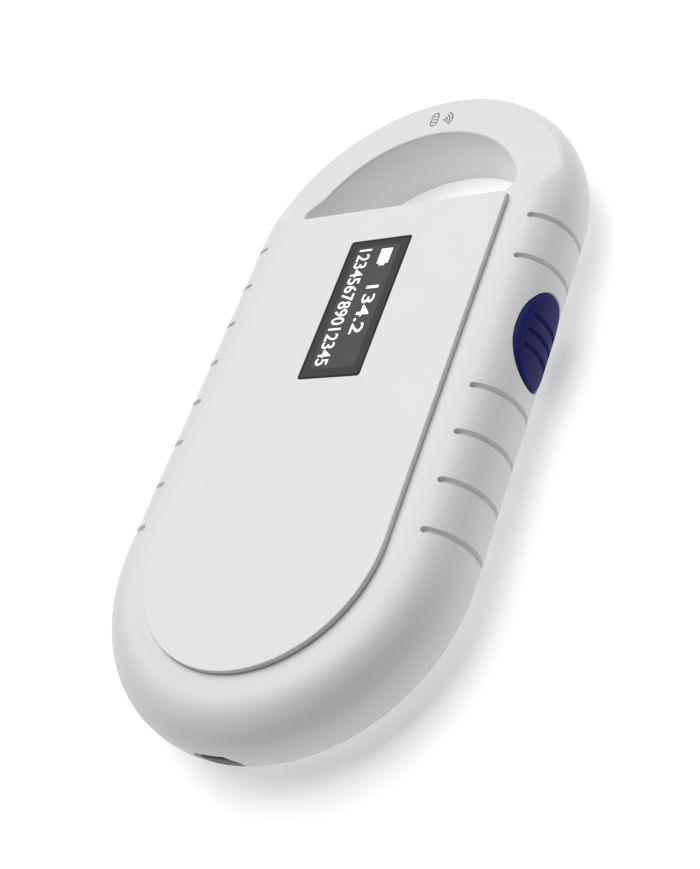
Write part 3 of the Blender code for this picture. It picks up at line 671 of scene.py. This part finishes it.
def make_display_marks(material, z):
    """A row of fifteen digits, a shorter number, and a battery sign; they read towards -Y."""
    turn = Matrix.Rotation(-math.pi / 2, 4, "Z")
    rows = (
        ("display_number", "123456789012345", 2.5, 23.3, (-2.4, 12.25)),
        ("display_frequency", "134.2", 2.4, 9.6, (1.85, 11.2)),
    )
    for name, text, height, length, (x, y) in rows:
        mesh = text_mesh(name, text, height, length)
        mesh.transform(Matrix.Translation((x * MM, y * MM, z * MM)) @ turn)
        place(add_object(name, mesh), "case", "display_glass", material)
    battery = rounded_rectangle(BATTERY_SIGN_X, 22.05, 2.2, 3.1, 0.12, 2)
    sign = slab("display_battery", ((battery, z - MARK_RISE / 2), (battery, z + MARK_RISE / 2)))
    place(sign, "case", "display_glass", material)
    tip = rounded_rectangle(BATTERY_SIGN_X, 20.3, 1.1, 0.5, 0.1, 2)
    nub = slab("display_battery_tip", ((tip, z - MARK_RISE / 2), (tip, z + MARK_RISE / 2)))
    place(nub, "case", "display_glass", material)


# ---------------------------------------------------------------- button


def button_groove(y, z):
    """Depth of the three finger grooves in the button."""
    deepest = 0.0
    for step in (-1, 0, 1):
        across = abs(y - BUTTON_Y - step * BUTTON_GROOVE_PITCH)
        end = max(abs(z - MID_Z) - BUTTON_GROOVE_HALF, 0.0)
        share = (BUTTON_GROOVE_WIDTH - math.hypot(across, end)) / (BUTTON_GROOVE_WIDTH * 0.6)
        share = max(0.0, min(1.0, share))
        deepest = max(deepest, BUTTON_GROOVE_DEPTH * share * share * (3 - 2 * share))
    return deepest


def make_button(material):
    outline = [Vector(point) for point in oval(0.0, BUTTON_STEPS)]
    rings = [[(BUTTON_INNER_X, p.x, p.y) for p in outline]]

    def surface(share, sink):
        ring = []
        for p in outline:
            y, z = BUTTON_MIDDLE + (p - BUTTON_MIDDLE) * share
            ring.append((SPINE + edge_reach(z, BUTTON_PROUD) - sink - button_groove(y, z), y, z))
        return ring

    half = BUTTON_HALF_HEIGHT
    for degrees in range(0, 90, 10):
        turn = math.radians(degrees)
        inset = BUTTON_RIM * (1 - math.cos(turn))
        rings.append(surface(1 - inset / half, BUTTON_RIM * (1 - math.sin(turn))))
    rings += [surface(share, 0.0) for share in steps_between(1 - BUTTON_RIM / half, 0.02, 0.016)]
    button = loft("button_cap", rings)
    flange = rounded_rectangle(BUTTON_Y, MID_Z, 19.2, 6.4, 0.8)
    nub = arc(BUTTON_Y, 5.7, 1.3, 0, 2 * math.pi, 32)[:-1]
    combine(
        button,
        "UNION",
        loft("button_flange", [[(x, y, z) for y, z in flange] for x in (26.5, 27.5)]),
        loft("button_nub", [[(x, y, z) for y, z in nub] for x in (26.0, 26.8)]),
    )
    smooth(button, 40)
    return place(button, "button", "button_blue", material, "power_button")


# ---------------------------------------------------------------- small parts


def band(cx, cy, radius, width, start, end, steps=24):
    """A thin curved strip, from one angle in degrees to another."""
    start, end = math.radians(start), math.radians(end)
    outer = arc(cx, cy, radius + width / 2, start, end, steps)
    inner = arc(cx, cy, radius - width / 2, end, start, steps)
    return outer + inner


def make_ring_signs(material):
    """Two small printed signs on the ring: a tag, and a sender with three waves."""
    low, high = RING_Z - 0.03, RING_Z + 0.012
    x, y = SENDER
    outlines = {"sign_sender": band(x, y, 0.11, 0.2, 0, 350)}
    for i, radius in enumerate((0.75, 1.3, 1.85)):
        outlines[f"sign_wave_{i + 1}"] = band(x - 0.2, y - 0.1, radius, 0.24, -42, 62)
    x, y = TAG
    half = 0.85
    outlines["sign_tag_top"] = band(x, y + half, 0.62, SIGN_LINE, -8, 188)
    outlines["sign_tag_bottom"] = band(x, y - half, 0.62, SIGN_LINE, 172, 368)
    for side in (-1, 1):
        name = "sign_tag_left" if side < 0 else "sign_tag_right"
        outlines[name] = rounded_rectangle(x + side * 0.62, y, SIGN_LINE, 2 * half, 0.08, 2)
    for i, rise in enumerate((-0.7, 0.0, 0.7)):
        outlines[f"sign_tag_bar_{i + 1}"] = rounded_rectangle(x, y + rise, 0.7, 0.2, 0.08, 2)
    for name, outline in outlines.items():
        place(slab(name, ((outline, low), (outline, high))), "case", "black_plastic", material)


def make_case_screws(material):
    """Pan-head screws with a cross recess and a coarse thread."""
    for i, (x, y) in enumerate(screw_places("case_screw")):
        profile = [(0.3, 1.35), (0.36, 1.6), (0.5, 1.75), (0.7, 1.8), (1.3, 1.8), (1.3, 0.8)]
        for turn in range(16):
            profile += [(1.4 + turn * 0.5, 0.62), (1.65 + turn * 0.5, 0.8)]
        profile.append((9.5, 0.3))
        rings = [[(px, py, z) for px, py in arc(x, y, r, 0, 2 * math.pi, 48)[:-1]] for z, r in profile]
        screw = loft(f"screw_{i + 1}", rings)
        cutters = []
        for across, along in ((0.38, 1.9), (1.9, 0.38)):
            top = rounded_rectangle(x, y, across * 0.7, along * 0.7, 0.05, 2)
            mouth = rounded_rectangle(x, y, across, along, 0.08, 2)
            cutters.append(slab(f"cross_{i}_{along}", ((mouth, -1.0), (mouth, 0.3), (top, 0.95))))
        combine(screw, "DIFFERENCE", *cutters)
        smooth(screw)
        place(screw, "case", "steel", material, f"case_screw_{i + 1}")


def make_usb_socket(materials):
    """The inlet's folded metal shell, with a flared mouth and a moulded black bed; the shell's steel is
    darkened with painted shade.
    """
    width = USB_HIGH.x - USB_LOW.x
    low, high = USB_LOW.z, USB_HIGH.z
    mouth, end = USB_LOW.y, USB_HIGH.y
    wall = 0.3

    def ring(grow, y):
        slant = INLET_SLANT + grow / 2
        outline = inlet_outline(INLET_X, width + 2 * grow, low - grow, high + grow, slant)
        return [(x, y, z) for x, z in outline]

    shell = loft("usb_shell", [ring(-0.06, mouth), ring(0.0, mouth + 0.08), ring(0.0, end)])
    inner = [ring(0.0, mouth - 1.0), ring(-0.1, mouth - 0.01), ring(-0.2, mouth + 0.12)]
    inner += [ring(-wall, mouth + 0.5), ring(-wall, end - 0.6)]
    combine(shell, "DIFFERENCE", loft("usb_well", inner))
    smooth(shell)
    # The socket shell's steel is a darker copy of the plated steel: painted shade for the dark inside of
    # the inlet.
    place(shell, "case", "steel", materials["steel_dark"], "usb_socket")
    bed = loft("usb_bed", [ring(-wall - 0.02, end - 4.4), ring(-wall - 0.02, end - 0.7)])
    tongue = rounded_rectangle(INLET_X, (low + high) / 2, 4.6, 0.8, 0.2, 3)
    way = loft("tongue_way", [[(x, y, z) for x, z in tongue] for y in (end - 6.0, end - 0.9)])
    combine(bed, "DIFFERENCE", way)
    smooth(bed)
    place(bed, "case", "black_plastic", materials["black_plastic"])


# ---------------------------------------------------------------- camera, floor, light


def add_area(name, place_m, size, power):
    """A soft rectangular light, aimed at the origin."""
    light = bpy.data.lights.new(name, "AREA")
    light.shape = "RECTANGLE"
    light.size, light.size_y = size
    light.energy = power
    obj = bpy.data.objects.new(name, light)
    bpy.context.scene.collection.objects.link(obj)
    obj.location = place_m
    obj.rotation_euler = (-Vector(place_m)).to_track_quat("-Z", "Y").to_euler()
    return obj


def make_camera():
    data = bpy.data.cameras.new("camera")
    data.sensor_width = 36.0
    data.lens = 62.81
    data.clip_start = 0.01
    camera = bpy.data.objects.new("camera", data)
    bpy.context.scene.collection.objects.link(camera)
    right = Vector((0.80758, 0.31199, -0.50047)).normalized()
    back = Vector((0.58883, -0.47397, 0.65470))
    back = (back - back.dot(right) * right).normalized()
    up = back.cross(right)
    turn = Matrix((right, up, back)).transposed().to_4x4()
    camera.matrix_world = Matrix.Translation((0.13816, -0.11709, 0.15872)) @ turn
    bpy.context.scene.camera = camera


def make_stage(material):
    mesh = bpy.data.meshes.new("floor")
    bm = bmesh.new()
    bmesh.ops.create_grid(bm, x_segments=2, y_segments=2, size=6.0)
    bm.to_mesh(mesh)
    bm.free()
    floor = add_object("floor", mesh)
    floor.location.z = -0.0001
    mesh.materials.append(material)


def make_light():
    world = bpy.data.worlds.new("studio")
    world.use_nodes = True
    world.node_tree.nodes["Background"].inputs["Color"].default_value = (1.0, 1.0, 1.0, 1.0)
    world.node_tree.nodes["Background"].inputs["Strength"].default_value = WORLD_STRENGTH
    bpy.context.scene.world = world
    add_area("key", KEY_PLACE, KEY_SIZE, KEY_POWER)
    add_area("rim", RIM_PLACE, RIM_SIZE, RIM_POWER)


# ---------------------------------------------------------------- materials


class Finish:
    """A node material under construction: a Principled shader fed by noise in object space."""

    def __init__(self, name, colour, roughness, metallic=0.0):
        self.material = bpy.data.materials.new(name)
        self.material.use_nodes = True
        self.tree = self.material.node_tree
        self.shader = self.tree.nodes["Principled BSDF"]
        self.colour = colour
        self.roughness = roughness
        self.shader.inputs["Base Color"].default_value = (*colour, 1.0)
        self.shader.inputs["Roughness"].default_value = roughness
        self.shader.inputs["Metallic"].default_value = metallic
        self.where = self.tree.nodes.new("ShaderNodeTexCoord").outputs["Object"]

    def link(self, source, target):
        self.tree.links.new(source, target)

    def node(self, kind, **values):
        made = self.tree.nodes.new("ShaderNode" + kind)
        for socket, value in values.items():
            made.inputs[socket.replace("_", " ")].default_value = value
        return made

    def noise(self, scale, detail=3.0, stretch=None):
        made = self.node("TexNoise", Scale=scale, Detail=detail)
        source = self.where
        if stretch:
            mapping = self.node("Mapping", Scale=stretch)
            self.link(source, mapping.inputs["Vector"])
            source = mapping.outputs["Vector"]
        self.link(source, made.inputs["Vector"])
        return made.outputs["Fac"]

    def shade(self, factor, low, high):
        """The base colour between two colours, by a factor."""
        mix = self.tree.nodes.new("ShaderNodeMix")
        mix.data_type = "RGBA"
        mix.inputs["A"].default_value = (*low, 1.0)
        mix.inputs["B"].default_value = (*high, 1.0)
        self.link(factor, mix.inputs["Factor"])
        return mix.outputs["Result"]

    def mottle(self, scale, amount):
        """Slight unevenness in the colour, and edges worn a little lighter."""
        darker = [c * (1 - amount) for c in self.colour]
        lighter = [min(1.0, c * (1 + amount) + amount / 4) for c in self.colour]
        patches = self.shade(self.noise(scale, 4.0), darker, self.colour)
        geometry = self.tree.nodes.new("ShaderNodeNewGeometry")
        edges = self.node("MapRange", From_Min=0.56, From_Max=0.68)
        self.link(geometry.outputs["Pointiness"], edges.inputs["Value"])
        worn = self.tree.nodes.new("ShaderNodeMix")
        worn.data_type = "RGBA"
        worn.inputs["B"].default_value = (*lighter, 1.0)
        self.link(patches, worn.inputs["A"])
        self.link(edges.outputs["Result"], worn.inputs["Factor"])
        self.link(worn.outputs["Result"], self.shader.inputs["Base Color"])
        return self

    def gloss(self, scale, spread, stretch=None):
        """Uneven roughness."""
        rough = self.node("MapRange", To_Min=self.roughness - spread, To_Max=self.roughness + spread)
        self.link(self.noise(scale, 4.0, stretch), rough.inputs["Value"])
        self.link(rough.outputs["Result"], self.shader.inputs["Roughness"])
        return self

    def grain(self, scale, depth, strength=0.4, stretch=None):
        """Fine relief; the depth is in millimetres."""
        bump = self.node("Bump", Strength=strength, Distance=depth * MM)
        self.link(self.noise(scale, 2.0, stretch), bump.inputs["Height"])
        self.link(bump.outputs["Normal"], self.shader.inputs["Normal"])
        return self

    def sockets(self, **values):
        for socket, value in values.items():
            self.shader.inputs[socket.replace("_", " ")].default_value = value
        return self


def moulded(name, colour, roughness, specular=0.5):
    """Satin moulded plastic with a fine spark-eroded grain."""
    made = Finish(name, colour, roughness).mottle(45.0, 0.03).gloss(160.0, 0.05)
    return made.grain(3500.0, 0.008).sockets(Specular_IOR_Level=specular).material


def polished(name, colour, roughness=0.16, specular=0.5):
    made = Finish(name, colour, roughness).mottle(80.0, 0.05).gloss(220.0, 0.04)
    return made.grain(900.0, 0.001, 0.2).sockets(Specular_IOR_Level=specular).material


def metal(name, colour, roughness, stretch=(1.0, 1.0, 12.0)):
    """Plated metal with fine drawing marks."""
    made = Finish(name, colour, roughness, 1.0).mottle(300.0, 0.08).gloss(900.0, 0.08, stretch)
    return made.grain(2500.0, 0.004, 0.35, stretch).material


def circuit_board(name, colour):
    """Solder mask over copper, whose tracks stand out a little lighter."""
    made = Finish(name, colour, 0.42)
    tracks = made.node("TexVoronoi", Scale=420.0)
    tracks.distance = "CHEBYCHEV"
    made.link(made.where, tracks.inputs["Vector"])
    lines = made.node("MapRange", From_Min=0.38, From_Max=0.42)
    made.link(tracks.outputs["Distance"], lines.inputs["Value"])
    lighter = [c * 1.7 for c in colour]
    made.link(made.shade(lines.outputs["Result"], colour, lighter), made.shader.inputs["Base Color"])
    return made.gloss(300.0, 0.06).grain(1800.0, 0.004).material


def paper(name, colour):
    made = Finish(name, colour, 0.55).mottle(220.0, 0.04).gloss(600.0, 0.08)
    return made.grain(2600.0, 0.01, 0.5, (1.0, 3.0, 1.0)).material


def foil(name, colour):
    """A pouch of laminated foil, softly creased."""
    made = Finish(name, colour, 0.34, 0.6).mottle(60.0, 0.06).gloss(140.0, 0.08)
    return made.grain(240.0, 0.12, 0.5).material


def make_materials():
    lit = Finish("display_lit", (0.86, 0.88, 0.88), 0.4).mottle(900.0, 0.03).gloss(500.0, 0.05)
    lit.sockets(Emission_Color=(1.0, 1.0, 1.0, 1.0), Emission_Strength=0.35)
    floor = Finish("floor", (0.93, 0.93, 0.93), 0.85).mottle(6.0, 0.004).gloss(30.0, 0.05)
    floor.sockets(Emission_Color=(1.0, 1.0, 1.0, 1.0), Emission_Strength=0.32)
    foam = Finish("foam_black", (0.03, 0.03, 0.03), 0.95).mottle(500.0, 0.2).grain(1500.0, 0.1)
    return {
        "floor": floor.material,
        "shell": moulded("moulded_shell", (0.775, 0.78, 0.78), 0.46),
        "panel": moulded("moulded_panel", (0.80, 0.81, 0.805), 0.42),
        "button": moulded("moulded_button", (0.010, 0.012, 0.125), 0.5, 0.12),
        "lens_edge": polished("lens_edge", (0.003, 0.003, 0.003), 0.3, 0.12),
        "lens_border": polished("lens_border", (0.032, 0.034, 0.033), 0.3, 0.12),
        "display_view": polished("display_view", (0.064, 0.068, 0.062), 0.3, 0.12),
        "display_lit": lit.material,
        "print_grey": moulded("print_grey", (0.13, 0.13, 0.13), 0.6),
        # A darker copy of the plated steel: painted shade for the socket inside the inlet.
        "steel_dark": metal("steel_with_painted_shade", (0.16, 0.16, 0.165), 0.42),
        "window_black": polished("smoked_lens", (0.01, 0.01, 0.012)),
        "display_glass": polished("oled_glass", (0.05, 0.05, 0.06), 0.1),
        "black_plastic": moulded("black_plastic", (0.015, 0.015, 0.015), 0.5),
        "foam_black": foam.material,
        "flex_amber": polished("flex_amber", (0.45, 0.20, 0.04), 0.35),
        "board_green": circuit_board("board_green", (0.015, 0.14, 0.045)),
        "chip_black": moulded("chip_epoxy", (0.02, 0.02, 0.022), 0.55),
        "capacitor_tan": moulded("capacitor_ceramic", (0.45, 0.30, 0.16), 0.5),
        "steel": metal("steel_plated", (0.62, 0.62, 0.64), 0.32),
        "battery_silver": foil("battery_foil", (0.55, 0.56, 0.58)),
        "coil_copper": metal("coil_copper", (0.62, 0.25, 0.09), 0.38, (1.0, 1.0, 40.0)),
        "wire_red": moulded("wire_red", (0.55, 0.02, 0.02), 0.5),
        "wire_black": moulded("wire_black", (0.015, 0.015, 0.015), 0.5),
        "tape_white": moulded("tape_white", (0.75, 0.75, 0.72), 0.8),
        "label_silver": paper("label_silver", (0.66, 0.66, 0.66)),
    }


def finish_cad_nodes(materials):
    """Gives every CAD node that still shows the material of its slot."""
    slots = {part["node"]: part["material_slot"] for part in frame["record"]["subparts"]}
    for name, node in frame["nodes"].items():
        if slots[name] in materials:
            for slot in node.material_slots:
                slot.material = materials[slots[name]]


# ---------------------------------------------------------------- build


bpy.context.scene.view_settings.view_transform = "Standard"
materials = make_materials()
make_camera()
make_stage(materials["floor"])
make_light()
make_front_shell(materials["shell"])
make_rear_cover(materials["shell"])
make_front_panel(materials["panel"])
make_window(materials)
make_button(materials["button"])
make_ring_signs(materials["print_grey"])
make_case_screws(materials["steel"])
make_usb_socket(materials)
finish_cad_nodes(materials)
